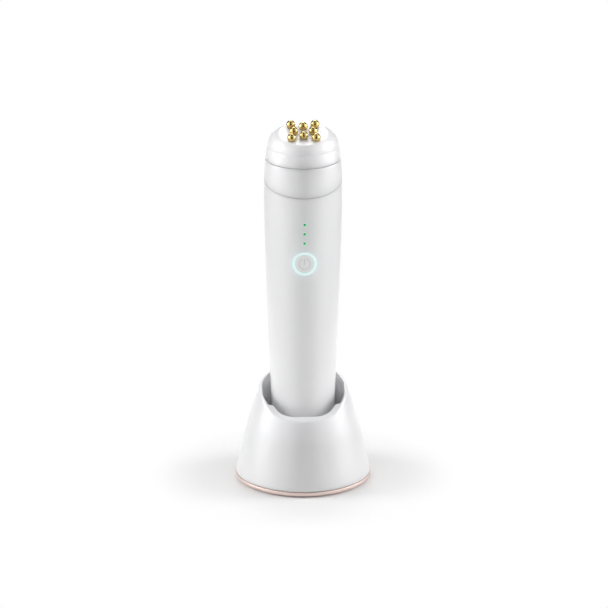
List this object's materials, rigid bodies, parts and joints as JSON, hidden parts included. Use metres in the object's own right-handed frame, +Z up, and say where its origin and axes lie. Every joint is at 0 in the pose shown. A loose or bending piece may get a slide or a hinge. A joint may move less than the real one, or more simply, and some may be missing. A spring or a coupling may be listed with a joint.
{
  "type": "facial toning device",
  "caption": "Handheld facial toning wand with ball electrodes on a tilted face, a lit push button and level lights, standing in a scooped charging stand.",
  "frame": {"origin": "middle of the stand's footprint, on the surface it stands on", "axes": "+Z up along the wand, -Y towards the front with the button, +X to the right seen from the front"},
  "size_m": [0.0706, 0.0706, 0.1932],
  "materials": {
    "pearl_plastic": "pearl white, glossy",
    "rose_gold_trim": "rose gold, satin plated",
    "gold_plate": "polished gold plate",
    "dark_plastic": "matte black",
    "frame_plastic": "matte pale grey",
    "steel": "bright zinc plated",
    "spring_steel": "drawn wire",
    "pin_brass": "turned brass",
    "foot_rubber": "matte dark grey",
    "seam_rubber": "grey seal",
    "circuit_board": "green solder mask",
    "lead_sheath": "red sheath",
    "cell_wrap": "blue shrink wrap",
    "ribbon_film": "amber film",
    "light_diffuser": "lit translucent ring",
    "level_light": "lit green dot",
    "led_chip": "clear resin chip"
  },
  "bodies": {
    "stand": {"stand_shell": "pearl_plastic", "trim_ring": "rose_gold_trim", "base_plate": "dark_plastic", "ballast_plate": "steel", "foot_front": "foot_rubber", "foot_right": "foot_rubber", "foot_back": "foot_rubber", "foot_left": "foot_rubber", "base_screws": "steel", "stand_board": "circuit_board", "stand_board_screws": "steel", "inlet_shell": "steel", "inlet_tongue": "dark_plastic", "pin_block": "dark_plastic", "pin_barrel_left": "pin_brass", "pin_barrel_right": "pin_brass", "pin_spring_left": "spring_steel", "pin_spring_right": "spring_steel"},
    "pin_left": {"pin_left": "gold_plate"},
    "pin_right": {"pin_right": "gold_plate"},
    "wand": {"handle_shell": "pearl_plastic", "bottom_cap": "pearl_plastic", "contact_left": "gold_plate", "contact_right": "gold_plate", "charge_leads": "lead_sheath", "inner_frame": "frame_plastic", "battery_cell": "cell_wrap", "cell_tabs": "steel", "main_board": "circuit_board", "main_board_screws": "steel", "switch_case": "dark_plastic", "light_ring": "light_diffuser", "ring_leds": "led_chip", "level_leds": "led_chip", "level_pipe_1": "level_light", "level_pipe_2": "level_light", "level_pipe_3": "level_light", "neck_seal": "seam_rubber", "head_ring": "pearl_plastic", "cap_seal": "seam_rubber", "head_cap": "pearl_plastic", "electrode_1": "gold_plate", "electrode_2": "gold_plate", "electrode_3": "gold_plate", "electrode_4": "gold_plate", "electrode_5": "gold_plate", "electrode_6": "gold_plate", "electrode_7": "gold_plate", "electrode_8": "gold_plate", "electrode_board": "circuit_board", "head_ribbon": "ribbon_film"},
    "button": {"button_cap": "pearl_plastic", "switch_plunger": "frame_plastic"}
  },
  "joints": [
    {"name": "wand_lift", "type": "slide", "parent": "stand", "child": "wand", "axis": [0, 0, 1], "range_m": [0, 0.06]},
    {"name": "button_press", "type": "slide", "parent": "wand", "child": "button", "axis": [0, 1, 0], "range_m": [0, 0.0004], "stiffness_N_per_m": 1500},
    {"name": "pin_left_press", "type": "slide", "parent": "stand", "child": "pin_left", "axis": [0, 0, -1], "range_m": [0, 0.0008], "stiffness_N_per_m": 800, "deforming": ["pin_spring_left"]},
    {"name": "pin_right_press", "type": "slide", "parent": "stand", "child": "pin_right", "axis": [0, 0, -1], "range_m": [0, 0.0008], "stiffness_N_per_m": 800, "deforming": ["pin_spring_right"]}
  ]
}
